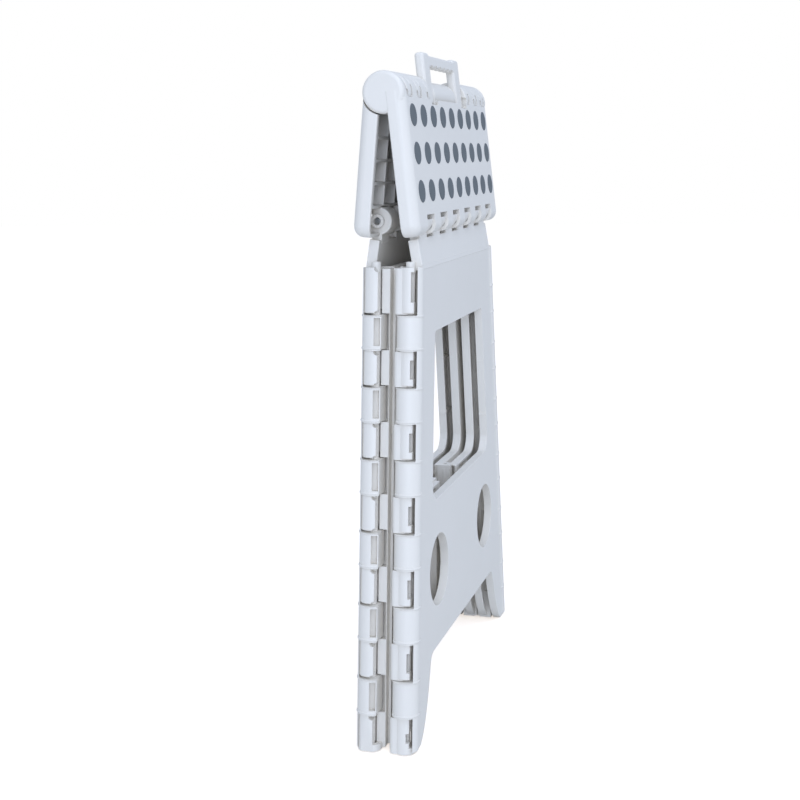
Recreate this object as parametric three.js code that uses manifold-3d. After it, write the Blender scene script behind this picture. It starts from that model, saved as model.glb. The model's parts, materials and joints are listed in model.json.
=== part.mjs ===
// Folding step stool, folded flat and standing on its feet.
// Millimetres, +Z up. The front face looks along -Y and the width runs along X.
// The rear half is the front half turned half a turn about Z.
import * as THREE from 'three';
import { mergeVertices } from 'three/addons/utils/BufferGeometryUtils.js';
import Module from 'manifold-3d';

const wasm = await Module();
wasm.setup();
const { degToRad } = THREE.MathUtils;

// ---- Driving dimensions ----

const CENTRE_Z = 486.5; // axis of the centre hinge above the floor
const LEAN = degToRad(5.6); // each folded top half leans out by this much
const LEG_HINGE_Y = 13.5; // leg and corner hinge axes, from the middle plane
const LEG_HINGE_Z = 391;

const DECK_HALF_WIDTH = 134;
const DECK_LENGTH = 108; // centre hinge axis to the free edge
const DECK_FACE = 16.1; // outer face above the centre hinge axis
const DECK_BACK = 2.1; // open side of the moulding
const DECK_SKIN = 3;
const DECK_WALL = 3;
const DECK_CORNER = 10;

const KNUCKLE_R = 16.1; // centre hinge knuckles
const KNUCKLE_CORE = 11; // half height of the hollow in each knuckle
const KNUCKLE_HUB_R = 5.5;
const KNUCKLE_GAP = 0.35;
const KNUCKLE_WALL = 2.5;
const KNUCKLE_CUTS = [57.5, 67.5, 86, 95.5, 111.5, 123, DECK_HALF_WIDTH];
const MIDDLE_KNUCKLE_R = 13;
const MIDDLE_KNUCKLE_HALF = 35.5;

const DOT_PITCH = 28.5;
const DOT_COLUMNS = [-4, -3, -2, -1, 0, 1, 2, 3, 4];
const DOT_ROWS = [18.1, 46.6, 75.1];
const DOT_R = 7.4;
const DOT_HOLE_R = 8.2;
const DOT_PROUD = 0.4;
const RUNNER_HALF = 4.2; // strips that join the studs under the skin
const RUNNER_T = 1.9;

const HANDLE_HALF = 56;
const HANDLE_LEG = 18;
const HANDLE_RISE = 33.5; // top of the grip above the centre hinge
const HANDLE_GRIP = 11.5;
const HANDLE_SEAT = 8; // how far the handle's legs run down the face
const HANDLE_FACE = 12.9;
const HANDLE_BACK = 5.3;
const HANDLE_EYE = 6;

const TONGUE_PITCH = 38.6;
const TONGUE_HALF = 10;
const TONGUE_R = 9.7;
const BOSS_R = 7.5;
const LEG_PIN_R = 2.2;
const PIN_HOLE_R = 2.9;
const CENTRE_PIN_R = 2.4;

const LEG_FACE_Y = 23.5;
const LEG_BACK_Y = 14.2;
const LEG_SKIN = 3;
const LEG_TOP_Z = 378;
const NECK_HALF = 124;
const SHOULDER_Z = 358.4;
const RIB = 2.4;

const COLUMN_FOOT_X = 152; // corner hinge axis at floor level
const COLUMN_SLOPE = 0.108; // and how far it leans in per millimetre of height
const COLUMN_R = 10; // leg barrels
const COLUMN_CLEAR = 10.6;
const COLUMN_LIP = 6; // the leg's face wraps this far over the hooks
const COLUMN_TOP_Z = 356.6;
const SEGMENT_FOOT_Z = 27.1; // top of the lowest knuckle
const SEGMENT_STEP = 26.785;
const SEGMENT_COUNT = 13;
const SEGMENT_GAP = 0.35;
const POCKET_GAP = 0.9;
const SPINE_R = 3.6; // rod that the side panels' hooks snap onto
const HOOK_R = 8;
const HOOK_CLEAR = 8.6;
const HOOK_BORE_R = 4.8;
const HOOK_MOUTH = 12;

const WINDOW = { top: 304, bottom: 173, topHalf: 79, bottomHalf: 93.5, corner: 14 };
const ROUND_HOLE = { x: 78, z: 116, r: 28 };
const CUTOUT = { top: 57.5, half: 103 };
const FOOT_LIFT = 0.8; // the mouldings stop this far above the floor pads
const PAD_R = 6;
const PAD_T = 3.2;

const SIDE_FACE_Y = 3.2; // smooth faces of the folded sides, next to the middle plane
const SIDE_BACK_Y = 11;
const SIDE_SKIN = 2.6;
const SIDE_TOP_Z = 355.5;
const SIDE_RIB_X = 64;
const FOLD_X = 27.64; // side fold line at FOLD_REF_Z, from the middle
const FOLD_REF_Z = 165;
const FOLD_SLOPE = 0.0595;
const FOLD_R = 5.8;
const FOLD_CLEAR = 8.4;
const FOLD_PIN_R = 1.5;
const FOLD_TIGHT_R = 1.95;
const FOLD_LOOSE_R = 4.15;
const FOLD_GROUPS = [
  [80, 98.4, 116.8, 135.2, 153.6, 172],
  [306, 322.5, 339, 355.5],
];
const FOLD_GAP = 0.8;

const columnX = (z) => COLUMN_FOOT_X - COLUMN_SLOPE * z;
const foldX = (z) => FOLD_X + FOLD_SLOPE * (FOLD_REF_Z - z);

// Leg hinge in the top half's own frame: s down the deck, n out of its face.
const HINGE_DROP = CENTRE_Z - LEG_HINGE_Z;
const HINGE_S = HINGE_DROP * Math.cos(LEAN) + LEG_HINGE_Y * Math.sin(LEAN);
const HINGE_N = LEG_HINGE_Y * Math.cos(LEAN) - HINGE_DROP * Math.sin(LEAN);

// ---- Materials ----

const finish = (color, roughness, metalness = 0) => ({ color, roughness, metalness });
const WHITE = finish(0xe4e6ee, 0.45);
const GREY = finish(0x646e78, 0.8);
const STEEL = finish(0xb4b7ba, 0.35, 0.9);
const DARK = finish(0x4a4c50, 0.85);

// ---- Solid helpers ----

function solid(geometry) {
  geometry.deleteAttribute('normal');
  geometry.deleteAttribute('uv');
  const merged = mergeVertices(geometry, 1e-4);
  return new wasm.Manifold(new wasm.Mesh({
    numProp: 3,
    vertProperties: merged.attributes.position.array,
    triVerts: new Uint32Array(merged.index.array),
  }));
}

function join(solids) {
  return solids.reduce((sum, next) => sum.add(next));
}

function cut(base, tools) {
  return tools.reduce((left, tool) => left.subtract(tool), base);
}

function box(x, y, z) {
  const [x0, x1] = [Math.min(...x), Math.max(...x)];
  const [y0, y1] = [Math.min(...y), Math.max(...y)];
  const [z0, z1] = [Math.min(...z), Math.max(...z)];
  const geometry = new THREE.BoxGeometry(x1 - x0, y1 - y0, z1 - z0);
  geometry.translate((x0 + x1) / 2, (y0 + y1) / 2, (z0 + z1) / 2);
  return solid(geometry);
}

function rod(from, to, radius, sides = 12) {
  const start = new THREE.Vector3(...from);
  const end = new THREE.Vector3(...to);
  const along = end.clone().sub(start);
  const geometry = new THREE.CylinderGeometry(radius, radius, along.length(), sides);
  const turn = new THREE.Quaternion().setFromUnitVectors(
    new THREE.Vector3(0, 1, 0), along.clone().normalize());
  geometry.applyQuaternion(turn);
  geometry.translate(...start.add(end).multiplyScalar(0.5).toArray());
  return solid(geometry);
}

// Square bar along a nearly upright axis, half as wide as the given clearance.
function bar(from, to, half) {
  const start = new THREE.Vector3(...from);
  const end = new THREE.Vector3(...to);
  const along = end.clone().sub(start);
  const geometry = new THREE.BoxGeometry(2 * half, 2 * half, along.length());
  const turn = new THREE.Quaternion().setFromUnitVectors(
    new THREE.Vector3(0, 0, 1), along.clone().normalize());
  geometry.applyQuaternion(turn);
  geometry.translate(...start.add(end).multiplyScalar(0.5).toArray());
  return solid(geometry);
}

// Outline in X and Z, extruded between two Y values.
function slab(points, y) {
  const [y0, y1] = [Math.min(...y), Math.max(...y)];
  const shape = new THREE.Shape(points.map(([px, pz]) => new THREE.Vector2(px, pz)));
  const geometry = new THREE.ExtrudeGeometry(shape, { depth: y1 - y0, bevelEnabled: false });
  geometry.rotateX(Math.PI / 2);
  geometry.translate(0, y1, 0);
  return solid(geometry);
}

// Points of an arc about a centre, from one angle to another, in degrees.
function arc(cx, cz, radius, from, to, steps) {
  const points = [];
  for (let i = 0; i <= steps; i += 1) {
    const angle = degToRad(from + ((to - from) * i) / steps);
    points.push([cx + radius * Math.cos(angle), cz + radius * Math.sin(angle)]);
  }
  return points;
}

// ---- Shared outlines ----

function windowHalfWidth(z) {
  const share = (WINDOW.top - z) / (WINDOW.top - WINDOW.bottom);
  return WINDOW.topHalf + share * (WINDOW.bottomHalf - WINDOW.topHalf);
}

function windowPoints(grow) {
  const half = windowHalfWidth(WINDOW.bottom) + grow;
  const low = WINDOW.bottom - grow;
  const r = WINDOW.corner;
  const top = windowHalfWidth(WINDOW.top) + grow;
  return [
    [-top, WINDOW.top + grow],
    ...arc(-half + r, low + r, r, 180, 270, 5),
    ...arc(half - r, low + r, r, 270, 360, 5),
    [top, WINDOW.top + grow],
  ];
}

// Inner edge of a foot, from the cut-out's corner down to the floor end.
function footEdge(inset) {
  return [
    [CUTOUT.half - 16 + inset, CUTOUT.top + inset],
    [CUTOUT.half - 4 + inset, CUTOUT.top - 2.5 + inset],
    [CUTOUT.half + 5 + inset, CUTOUT.top - 9],
    [112 + inset, 40],
    [119 + inset, 27],
    [125 + inset, 14],
    [131 + inset, 6 + inset],
    [139 + inset, FOOT_LIFT + inset],
  ];
}

function legOutline(inset) {
  const right = [
    [NECK_HALF - inset, LEG_TOP_Z - inset],
    [NECK_HALF - inset, SHOULDER_Z],
    [columnX(SHOULDER_Z) + COLUMN_LIP - inset, SHOULDER_Z],
    [columnX(0) + COLUMN_LIP - 2 - inset, FOOT_LIFT + inset],
    ...footEdge(inset).reverse(),
  ];
  const left = right.map(([px, pz]) => [-px, pz]).reverse();
  return [...right, ...left];
}

// ---- Corner hinge columns, on the +X or -X side of the front leg ----

function onColumn(side, z) {
  return [side * columnX(z), -LEG_HINGE_Y, z];
}

function segmentSpan(index) {
  const low = index === 0 ? 0 : SEGMENT_FOOT_Z + (index - 1) * SEGMENT_STEP;
  const high = index === SEGMENT_COUNT - 1 ? COLUMN_TOP_Z : SEGMENT_FOOT_Z + index * SEGMENT_STEP;
  return [low, high];
}

function columnSpans(isLeg) {
  const spans = [];
  for (let index = 0; index < SEGMENT_COUNT; index += 1) {
    const belongsToLeg = index % 2 === 1;
    if (belongsToLeg === isLeg) {
      spans.push(segmentSpan(index));
    }
  }
  return spans;
}

function columnBarrels(side, isLeg) {
  return columnSpans(isLeg).map(([low, high]) => rod(
    onColumn(side, low + SEGMENT_GAP), onColumn(side, high - SEGMENT_GAP),
    isLeg ? COLUMN_R : HOOK_R, 8));
}

// The leg's own rod, which joins its barrels and carries the side's hooks.
function columnSpine(side, radius) {
  return rod(onColumn(side, 4), onColumn(side, COLUMN_TOP_Z + 4), radius, 6);
}

// The mouth of each hook, which lets it snap onto the spine from inside.
function hookMouth(side) {
  const low = onColumn(side, -5);
  const high = onColumn(side, COLUMN_TOP_Z + 5);
  const shift = side * HOOK_MOUTH / 2;
  return bar(
    [low[0] - shift, low[1] - HOOK_MOUTH / 2, low[2]],
    [high[0] - shift, high[1] - HOOK_MOUTH / 2, high[2]], HOOK_MOUTH / 2);
}

// Room in one moulding for the knuckles of its neighbour.
function columnPockets(side, isLeg) {
  return columnSpans(isLeg).map(([low, high]) => bar(
    onColumn(side, low - POCKET_GAP), onColumn(side, high + POCKET_GAP),
    isLeg ? COLUMN_CLEAR : HOOK_CLEAR));
}

// ---- Legs ----

function legRibs() {
  const ribY = [-LEG_FACE_Y, -LEG_BACK_Y];
  const ribs = [341, 160].map((z) => box([-150, 150], ribY, [z, z + RIB]));
  for (const x of [-60, 0, 60]) {
    ribs.push(box([x - RIB / 2, x + RIB / 2], ribY, [WINDOW.top, LEG_TOP_Z]));
  }
  for (const x of [-30, 30]) {
    ribs.push(box([x - RIB / 2, x + RIB / 2], ribY, [CUTOUT.top, WINDOW.bottom]));
  }
  return ribs;
}

function roundHole(side, radius) {
  const x = side * ROUND_HOLE.x;
  return rod([x, -LEG_FACE_Y - 2, ROUND_HOLE.z], [x, 0, ROUND_HOLE.z], radius, 16);
}

function leg() {
  const plate = slab(legOutline(0), [-LEG_FACE_Y, -LEG_BACK_Y]);
  const opening = slab(windowPoints(0), [-LEG_FACE_Y - 2, 0]);
  const hollow = cut(slab(legOutline(RIB), [-LEG_FACE_Y + LEG_SKIN, 0]), [
    slab(windowPoints(RIB), [-LEG_FACE_Y, 1]),
    roundHole(-1, ROUND_HOLE.r + RIB),
    roundHole(1, ROUND_HOLE.r + RIB),
    ...legRibs(),
    ...[-1, 1].map((side) => bar(onColumn(side, -5), onColumn(side, COLUMN_TOP_Z + 9), COLUMN_CLEAR + RIB)),
  ]);
  const tray = cut(plate, [
    hollow,
    opening,
    roundHole(-1, ROUND_HOLE.r),
    roundHole(1, ROUND_HOLE.r),
    ...[-1, 1].flatMap((side) => columnPockets(side, false)),
  ]);
  const tongues = [];
  for (let i = 0; i < 6; i += 1) {
    const x = (i - 2.5) * TONGUE_PITCH;
    const span = [x - TONGUE_HALF, x + TONGUE_HALF];
    tongues.push(rod([span[0], -LEG_HINGE_Y, LEG_HINGE_Z], [span[1], -LEG_HINGE_Y, LEG_HINGE_Z], TONGUE_R, 14));
    tongues.push(box(span, [-LEG_HINGE_Y - TONGUE_R, -LEG_BACK_Y], [LEG_TOP_Z - 3, LEG_HINGE_Z]));
  }
  const columns = [-1, 1].flatMap((side) => [...columnBarrels(side, true), columnSpine(side, SPINE_R)]);
  const pinHole = rod(
    [-NECK_HALF, -LEG_HINGE_Y, LEG_HINGE_Z], [NECK_HALF, -LEG_HINGE_Y, LEG_HINGE_Z], PIN_HOLE_R, 8);
  return cut(join([tray, ...tongues, ...columns]), [pinHole]);
}

// ---- Side panels, folded between the legs ----

function sideOutline(side, inset) {
  const r = WINDOW.corner;
  const half = WINDOW.bottomHalf;
  const points = [
    [columnX(SIDE_TOP_Z) - inset, SIDE_TOP_Z - inset],
    [foldX(SIDE_TOP_Z) + inset, SIDE_TOP_Z - inset],
    [foldX(WINDOW.top) + inset, WINDOW.top + inset],
    [WINDOW.topHalf + inset, WINDOW.top + inset],
    ...arc(half - r, WINDOW.bottom + r, r + inset, 0, -90, 5),
    [foldX(WINDOW.bottom) + inset, WINDOW.bottom - inset],
    [foldX(CUTOUT.top) + inset, CUTOUT.top + inset],
    ...footEdge(inset),
    [columnX(0) - 2 - inset, FOOT_LIFT + inset],
  ];
  return points.map(([px, pz]) => [side * px, pz]);
}

function onFold(side, z) {
  return [side * foldX(z), 0, z];
}

// Knuckle spans of the side fold, counted from below: even ones belong to the front left side.
function foldSpans(even) {
  return FOLD_GROUPS.flatMap((cuts) => cuts.slice(0, -1)
    .map((low, i) => [low, cuts[i + 1], i])
    .filter(([, , i]) => (i % 2 === 0) === even)
    .map(([low, high]) => [low, high]));
}

function sidePanel(side, even) {
  const y = [-SIDE_BACK_Y, -SIDE_FACE_Y];
  const plate = slab(sideOutline(side, 0), y);
  const ribs = [336, 160].map((z) => box([0, side * 160], y, [z, z + RIB]));
  for (const z of [[CUTOUT.top, WINDOW.bottom], [WINDOW.top, SIDE_TOP_Z]]) {
    ribs.push(box([side * SIDE_RIB_X, side * (SIDE_RIB_X + RIB)], y, z));
  }
  const hollow = cut(slab(sideOutline(side, RIB), [-SIDE_BACK_Y - 1, -SIDE_FACE_Y - SIDE_SKIN]), [
    ...ribs,
    bar(onColumn(side, -5), onColumn(side, COLUMN_TOP_Z + 9), COLUMN_CLEAR + RIB),
    bar(onFold(side, 50), onFold(side, SIDE_TOP_Z + 5), FOLD_CLEAR + RIB),
  ]);
  const tray = cut(plate, [
    hollow,
    ...columnPockets(side, true),
    ...foldSpans(!even).map(([low, high]) => bar(
      onFold(side, low - FOLD_GAP), onFold(side, high + FOLD_GAP), FOLD_CLEAR)),
  ]);
  const hooks = cut(join(columnBarrels(side, false)), [hookMouth(side)]);
  const knuckles = [
    hooks,
    ...foldSpans(even).map(([low, high]) => rod(
      onFold(side, low + FOLD_GAP / 2), onFold(side, high - FOLD_GAP / 2), FOLD_R, 10)),
  ];
  const pinR = even ? FOLD_TIGHT_R : FOLD_LOOSE_R;
  const bores = FOLD_GROUPS.map((cuts) => rod(
    onFold(side, cuts[0] - 10), onFold(side, cuts[cuts.length - 1] + 10), pinR, 8));
  const padX = side * columnX(0);
  return cut(join([tray, ...knuckles]), [
    ...bores,
    columnSpine(side, HOOK_BORE_R),
    box([-200, 200], [-40, 40], [-20, FOOT_LIFT]),
    rod([padX, -LEG_HINGE_Y, -5], [padX, -LEG_HINGE_Y, PAD_T + 0.3], PAD_R + 0.4, 10),
  ]);
}

// ---- Top halves, in a frame with X across, -Y out of the face and -Z down the deck ----

function deckBox(x, s, n) {
  return box(x, n.map((value) => -value), s.map((value) => -value));
}

function deckRod(x, s, n, radius, sides) {
  return rod([x[0], -n, -s], [x[1], -n, -s], radius, sides);
}

function deckProfile() {
  const end = DECK_LENGTH;
  const r = DECK_CORNER;
  const small = 3;
  const points = [
    [0, DECK_FACE],
    ...arc(end - r, DECK_FACE - r, r, 90, 0, 5),
    ...arc(end - small, DECK_BACK + small, small, 0, -90, 2),
    [0, DECK_BACK],
  ];
  return points;
}

function deckBlock() {
  const shape = new THREE.Shape(deckProfile().map(([s, n]) => new THREE.Vector2(s, n)));
  const geometry = new THREE.ExtrudeGeometry(shape, { depth: 2 * DECK_HALF_WIDTH, bevelEnabled: false });
  const frame = new THREE.Matrix4().makeBasis(
    new THREE.Vector3(0, 0, -1), new THREE.Vector3(0, -1, 0), new THREE.Vector3(-1, 0, 0));
  geometry.applyMatrix4(frame);
  geometry.translate(DECK_HALF_WIDTH, 0, 0);
  return solid(geometry);
}

function knuckleSpans(odd) {
  const spans = [];
  for (let i = 0; i < KNUCKLE_CUTS.length - 1; i += 1) {
    if ((i % 2 === 1) === odd) {
      spans.push([KNUCKLE_CUTS[i], KNUCKLE_CUTS[i + 1]]);
      spans.push([-KNUCKLE_CUTS[i + 1], -KNUCKLE_CUTS[i]]);
    }
  }
  return spans;
}

function knuckle([x0, x1]) {
  return deckRod([x0 + KNUCKLE_GAP, x1 - KNUCKLE_GAP], 0, 0, KNUCKLE_R, 16);
}

function knucklePocket([x0, x1]) {
  return deckBox([x0 + KNUCKLE_WALL, x1 - KNUCKLE_WALL], [KNUCKLE_HUB_R, 22], [-KNUCKLE_CORE, KNUCKLE_CORE]);
}

function knuckleRoom([x0, x1]) {
  return deckRod([x0 - KNUCKLE_GAP, x1 + KNUCKLE_GAP], 0, 0, KNUCKLE_R + 0.9, 16);
}

function dotPlaces(skipHandle) {
  const places = [];
  for (const s of DOT_ROWS) {
    for (const column of DOT_COLUMNS) {
      const underHandle = s < HANDLE_RISE && Math.abs(column) <= 2;
      if (!(skipHandle && underHandle)) {
        places.push([column * DOT_PITCH, s]);
      }
    }
  }
  return places;
}

function deckRibs() {
  const n = [DECK_BACK, DECK_FACE];
  const ribs = [32.3, 60.8].map((s) => deckBox([-132, 132], [s, s + RIB], n));
  for (const column of [-1.5, 1.5]) {
    const x = column * DOT_PITCH;
    ribs.push(deckBox([x - RIB / 2, x + RIB / 2], [0, 84], n));
  }
  ribs.push(deckBox([-132, 132], [84, 84 + RIB], n));
  return ribs;
}

function runnerSpans(isFront) {
  return DOT_ROWS.flatMap((s, row) => {
    const clipped = !isFront && row === 0;
    const reach = 4 * DOT_PITCH + RUNNER_HALF;
    const x = clipped ? [[-reach, -80], [80, reach]] : [[-reach, reach]];
    return x.map((span) => [span, [s - RUNNER_HALF, s + RUNNER_HALF]]);
  });
}

function crossRunners(isFront) {
  const columns = isFront ? [0] : [-4, 4];
  return columns.map((column) => {
    const x = column * DOT_PITCH;
    return [[x - RUNNER_HALF, x + RUNNER_HALF], [DOT_ROWS[0], DOT_ROWS[2]]];
  });
}

function gripInlay(isFront) {
  const under = DECK_FACE - DECK_SKIN - 0.3;
  const strips = [...runnerSpans(isFront), ...crossRunners(isFront)]
    .map(([x, s]) => deckBox(x, s, [under - RUNNER_T, under]));
  const studs = dotPlaces(!isFront).map(([x, s]) => rod(
    [x, -(under - RUNNER_T), -s], [x, -(DECK_FACE + DOT_PROUD), -s], DOT_R, 6));
  const knuckleClearance = deckRod([-DECK_HALF_WIDTH, DECK_HALF_WIDTH], 0, 0, KNUCKLE_R + 1.1, 16);
  return cut(join([...strips, ...studs]), [knuckleClearance]);
}

function runnerChannels(isFront) {
  const grow = 0.5;
  const floor = DECK_FACE - DECK_SKIN;
  return [...runnerSpans(isFront), ...crossRunners(isFront)].map(([x, s]) => deckBox(
    [x[0] - grow, x[1] + grow], [s[0] - grow, s[1] + grow], [floor - RUNNER_T - 1, floor]));
}

function legHingeBosses() {
  const bosses = [];
  const edge = TONGUE_HALF + 1;
  const spans = [[-NECK_HALF + 0.5, -2.5 * TONGUE_PITCH - edge]];
  for (let i = 0; i < 5; i += 1) {
    spans.push([(i - 2.5) * TONGUE_PITCH + edge, (i - 1.5) * TONGUE_PITCH - edge]);
  }
  spans.push([2.5 * TONGUE_PITCH + edge, NECK_HALF - 0.5]);
  for (const x of spans) {
    bosses.push(deckRod(x, HINGE_S, HINGE_N, BOSS_R, 10));
    bosses.push(deckBox(x, [HINGE_S - 4, HINGE_S + 4], [HINGE_N, DECK_FACE - 1]));
  }
  return bosses;
}

function tongueSlots() {
  const slots = [];
  for (let i = 0; i < 6; i += 1) {
    const x = (i - 2.5) * TONGUE_PITCH;
    const span = [x - TONGUE_HALF - 0.6, x + TONGUE_HALF + 0.6];
    slots.push(deckBox(span, [HINGE_S - 6.8, DECK_LENGTH + 5], [HINGE_N, DECK_FACE + 5]));
    slots.push(deckBox(span, [HINGE_S - 11, DECK_LENGTH + 5], [-20, DECK_FACE - DECK_SKIN - 1]));
    slots.push(deckRod(span, HINGE_S, HINGE_N, TONGUE_R + 0.8, 14));
  }
  return slots;
}

function deckHalf(isFront) {
  const own = knuckleSpans(isFront);
  const middle = [-MIDDLE_KNUCKLE_HALF, MIDDLE_KNUCKLE_HALF];
  const inside = [DECK_WALL - DECK_HALF_WIDTH, DECK_HALF_WIDTH - DECK_WALL];
  const hollow = cut(join([
    deckBox(inside, [DECK_WALL, DECK_LENGTH - 8], [-20, DECK_FACE - DECK_SKIN]),
    deckBox(inside, [DECK_LENGTH - 9, DECK_LENGTH - DECK_WALL], [-20, DECK_FACE - DECK_CORNER + 1.4]),
  ]), deckRibs());
  const handleHalf = HANDLE_HALF + 0.6;
  const shell = cut(deckBlock(), [
    hollow,
    ...knuckleSpans(!isFront).map(knuckleRoom),
    deckRod([-KNUCKLE_CUTS[0], KNUCKLE_CUTS[0]], 0, 0, KNUCKLE_R + 0.9, 16),
  ]);
  const parts = [shell, ...own.map(knuckle), ...legHingeBosses()];
  if (isFront) {
    parts.push(deckRod(middle, 0, 0, MIDDLE_KNUCKLE_R, 16));
    parts.push(deckBox(middle, [2, 19], [9.5, 12.6]));
    parts.push(deckBox(middle, [9, 20], [9.5, DECK_FACE]));
  }
  const tools = [
    deckRod([-DECK_HALF_WIDTH + 3, DECK_HALF_WIDTH - 3], 0, 0, PIN_HOLE_R + 0.2, 8),
    deckRod([-DECK_HALF_WIDTH + 6, DECK_HALF_WIDTH - 6], HINGE_S, HINGE_N, PIN_HOLE_R, 8),
    ...own.map(knucklePocket),
    ...runnerChannels(isFront),
    ...tongueSlots(),
    ...dotPlaces(!isFront).map(([x, s]) => rod([x, -8, -s], [x, -20, -s], DOT_HOLE_R, 6)),
  ];
  if (isFront) {
    tools.push(deckBox([-33, 33], [KNUCKLE_HUB_R, 22], [-20, 9.5]));
    const leg = HANDLE_HALF - HANDLE_LEG - 0.6;
    for (const side of [-1, 1]) {
      tools.push(deckBox([side * leg, side * handleHalf], [-20, HANDLE_SEAT + 0.6], [-20, DECK_FACE + 5]));
    }
  } else {
    tools.push(deckBox([-handleHalf, handleHalf], [-20, HANDLE_RISE + 2], [-20, DECK_FACE + 5]));
  }
  return cut(join(parts), tools);
}

function carryHandle() {
  const top = HANDLE_RISE;
  const inner = HANDLE_HALF - HANDLE_LEG;
  const n = [HANDLE_BACK, HANDLE_FACE];
  const solids = [deckBox([-HANDLE_HALF, HANDLE_HALF], [-top, -top + HANDLE_GRIP], n)];
  for (const side of [-1, 1]) {
    const x = [side * inner, side * HANDLE_HALF];
    solids.push(deckBox(x, [-top + 1, HANDLE_SEAT], n));
    solids.push(deckBox(x, [-HANDLE_EYE, HANDLE_EYE], [-HANDLE_EYE, HANDLE_FACE]));
  }
  const scallops = [-2, -1, 0, 1, 2].map((i) => rod(
    [i * 13.5, 0, top - HANDLE_GRIP - 3.2], [i * 13.5, -20, top - HANDLE_GRIP - 3.2], 5.6, 12));
  const bore = deckRod([-60, 60], 0, 0, PIN_HOLE_R + 0.2, 8);
  return cut(join(solids), [...scallops, bore]);
}

// ---- Pins and pads ----

function foldPin(side, cuts) {
  return rod(onFold(side, cuts[0] + 2), onFold(side, cuts[cuts.length - 1] - 2), FOLD_PIN_R, 8);
}

function footPad(side) {
  const x = side * COLUMN_FOOT_X;
  return rod([x, -LEG_HINGE_Y, 0], [x, -LEG_HINGE_Y, PAD_T], PAD_R, 10);
}

// ---- Assembly ----

function node(name, body, look) {
  const mesh = body.getMesh();
  const geometry = new THREE.BufferGeometry();
  geometry.setAttribute('position', new THREE.BufferAttribute(mesh.vertProperties, 3));
  geometry.setIndex(new THREE.BufferAttribute(mesh.triVerts, 1));
  const result = new THREE.Mesh(geometry, new THREE.MeshStandardMaterial(look));
  result.name = name;
  return result;
}

// One leg with the side panels, pins and pads that fold beside it.
function legAssembly(end, sides) {
  const group = new THREE.Group();
  group.add(node(`${end}_leg`, leg(), WHITE));
  const hingeSpan = NECK_HALF - 2;
  group.add(node(`${end}_leg_hinge_pin`, rod(
    [-hingeSpan, -LEG_HINGE_Y, LEG_HINGE_Z], [hingeSpan, -LEG_HINGE_Y, LEG_HINGE_Z], LEG_PIN_R, 8), STEEL));
  sides.forEach((hand, index) => {
    const side = index === 0 ? -1 : 1;
    group.add(node(`${end}_${hand}_side`, sidePanel(side, index === 0), WHITE));
    group.add(node(`${end}_${hand}_foot_pad`, footPad(side), DARK));
  });
  // The side at index 0 holds the fold pins tight; its partner turns on them.
  FOLD_GROUPS.forEach((cuts, level) => {
    const height = level === 0 ? 'lower' : 'upper';
    group.add(node(`${sides[0]}_${height}_fold_pin`, foldPin(-1, cuts), STEEL));
  });
  return group;
}

function topAssembly(end) {
  const isFront = end === 'front';
  const group = new THREE.Group();
  group.position.set(0, 0, CENTRE_Z);
  group.rotation.x = -LEAN;
  group.add(node(`${end}_top`, deckHalf(isFront), WHITE));
  group.add(node(`${end}_grip_inlay`, gripInlay(isFront), GREY));
  if (isFront) {
    group.add(node('carry_handle', carryHandle(), WHITE));
    const half = DECK_HALF_WIDTH - 4;
    group.add(node('centre_hinge_pin', deckRod([-half, half], 0, 0, CENTRE_PIN_R, 8), STEEL));
  }
  return group;
}

const stool = new THREE.Group();
const rear = new THREE.Group();
rear.rotation.z = Math.PI;
stool.add(legAssembly('front', ['left', 'right']), topAssembly('front'));
rear.add(legAssembly('back', ['right', 'left']), topAssembly('back'));
stool.add(rear);

export default stool;
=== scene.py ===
import json
import math

import bpy
from mathutils import Matrix, Vector

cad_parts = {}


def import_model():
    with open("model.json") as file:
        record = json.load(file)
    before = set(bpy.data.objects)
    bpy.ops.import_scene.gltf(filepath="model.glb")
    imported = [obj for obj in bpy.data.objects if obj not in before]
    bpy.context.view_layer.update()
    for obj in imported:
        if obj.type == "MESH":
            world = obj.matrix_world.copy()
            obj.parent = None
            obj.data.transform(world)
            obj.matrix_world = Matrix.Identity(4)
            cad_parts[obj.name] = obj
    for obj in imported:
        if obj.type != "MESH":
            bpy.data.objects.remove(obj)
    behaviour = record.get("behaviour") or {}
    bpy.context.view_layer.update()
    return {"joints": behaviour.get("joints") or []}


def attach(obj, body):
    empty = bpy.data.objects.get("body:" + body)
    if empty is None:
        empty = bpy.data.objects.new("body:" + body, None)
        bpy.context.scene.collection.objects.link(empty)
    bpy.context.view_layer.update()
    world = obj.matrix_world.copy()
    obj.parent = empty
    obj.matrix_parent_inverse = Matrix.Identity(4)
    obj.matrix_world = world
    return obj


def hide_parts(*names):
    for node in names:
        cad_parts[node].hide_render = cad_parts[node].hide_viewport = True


# A white plastic folding step stool, folded flat and standing on its feet.
# Sizes below are millimetres in the frame of the model: X across, -Y out of the front, Z up.
# The rear of the stool is the front turned half a turn about Z.

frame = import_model()

MM = 0.001
JOINTS = {joint["name"]: joint for joint in frame["joints"]}


def joint_mm(name):
    return [value / MM for value in JOINTS[name]["pos_m"]]


# ---- Driving sizes, from the joints of the frame ----

CENTRE_Z = joint_mm("centre_fold")[2]
HINGE_Y, HINGE_Z = joint_mm("front_fold")[1:]
COLUMN_X, COLUMN_Y = joint_mm("front_right_swing")[:2]
COLUMN_SLOPE = JOINTS["front_right_swing"]["axis"][0] / -JOINTS["front_right_swing"]["axis"][2]
LEAN = math.radians(5.6)

LEG_FACE = -22.2
LEG_BACK = -15.4
LEG_SKIN = 3.0
LEG_TOP = 378.0
LEG_FOOT = 0.8
NECK = 112.0
NECK_THICK, NECK_LEAN = 8.0, math.radians(9)
SHOULDER = 358.4
RIB = 2.2

BARREL_R = 10.0
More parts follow.
